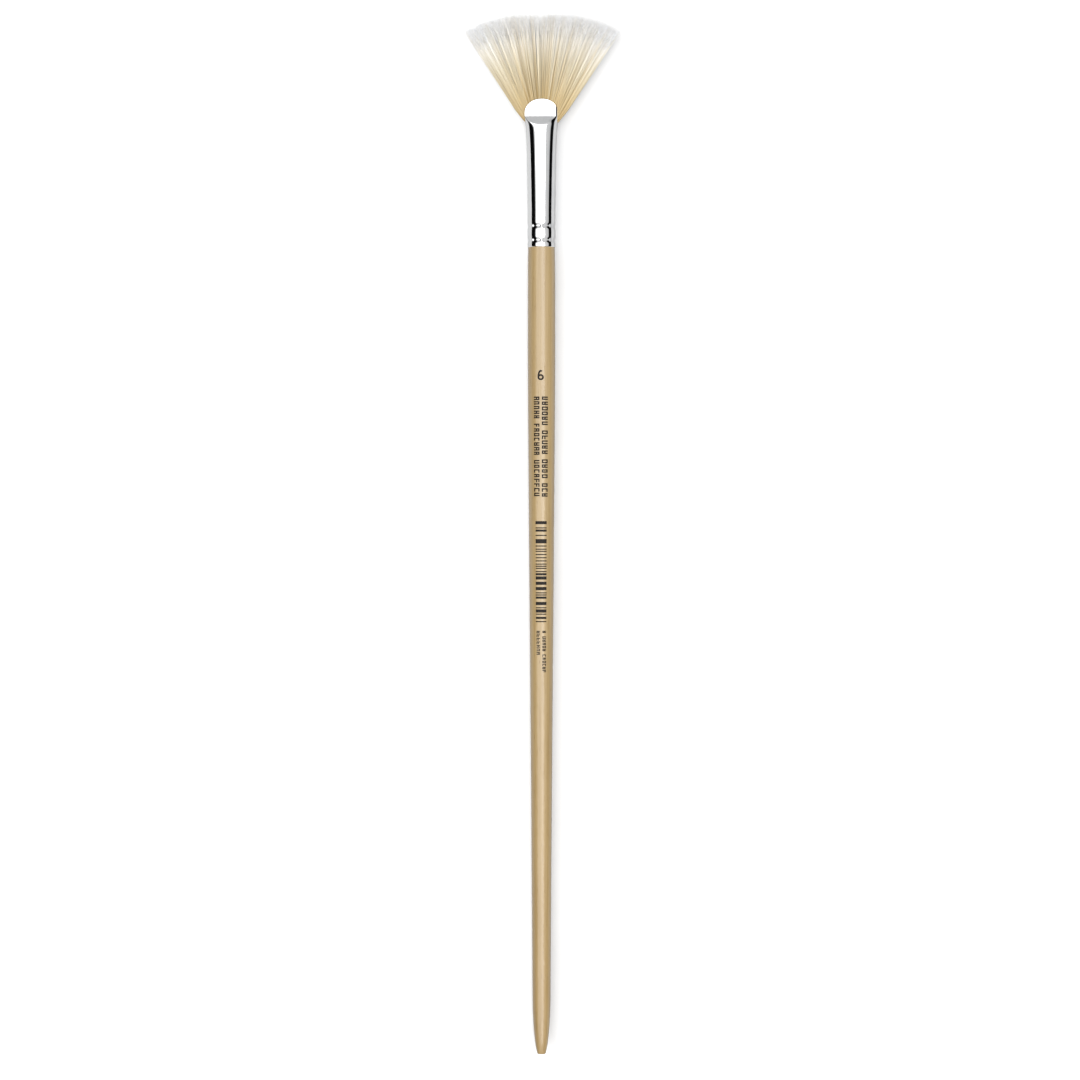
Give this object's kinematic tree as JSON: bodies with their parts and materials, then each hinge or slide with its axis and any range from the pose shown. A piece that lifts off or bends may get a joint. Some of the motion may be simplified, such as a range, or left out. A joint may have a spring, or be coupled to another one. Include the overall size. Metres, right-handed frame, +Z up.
{
  "type": "fan paint brush",
  "caption": "Long-handled artists' fan brush: tapered lacquered wooden handle, crimped metal ferrule and a flat flexible fan of pale hog bristles.",
  "frame": {"origin": "below the middle of the brush's length, on the surface that it lies on", "axes": "+X along the handle towards the bristle tips, +Y across the fan, +Z up through the flat of the fan"},
  "size_m": [0.323, 0.0478, 0.0088],
  "materials": {
    "lacquered_wood": "clear gloss lacquer over pale beech",
    "plated_metal": "bright nickel plate, polished",
    "glue": "set adhesive",
    "resin": "set resin",
    "bristle": "natural hog hair, slightly glossy"
  },
  "bodies": {
    "brush": {"handle": "lacquered_wood", "ferrule": "plated_metal", "handle_glue": "glue", "root_resin": "resin", "bristle_roots": "bristle"},
    "bristle_fan": {"bristle_lock_01": "bristle", "bristle_lock_02": "bristle", "bristle_lock_03": "bristle", "bristle_lock_04": "bristle", "bristle_lock_05": "bristle", "bristle_lock_06": "bristle", "bristle_lock_07": "bristle", "bristle_lock_08": "bristle", "bristle_lock_09": "bristle", "bristle_lock_10": "bristle", "bristle_lock_11": "bristle"}
  },
  "joints": [
    {"name": "bristle_flex", "type": "hinge", "parent": "brush", "child": "bristle_fan", "pos_m": [0.1362, 0, 0.00442], "axis": [0, 1, 0], "range_deg": [-40, 40], "stiffness_Nm_per_rad": 0.015}
  ]
}
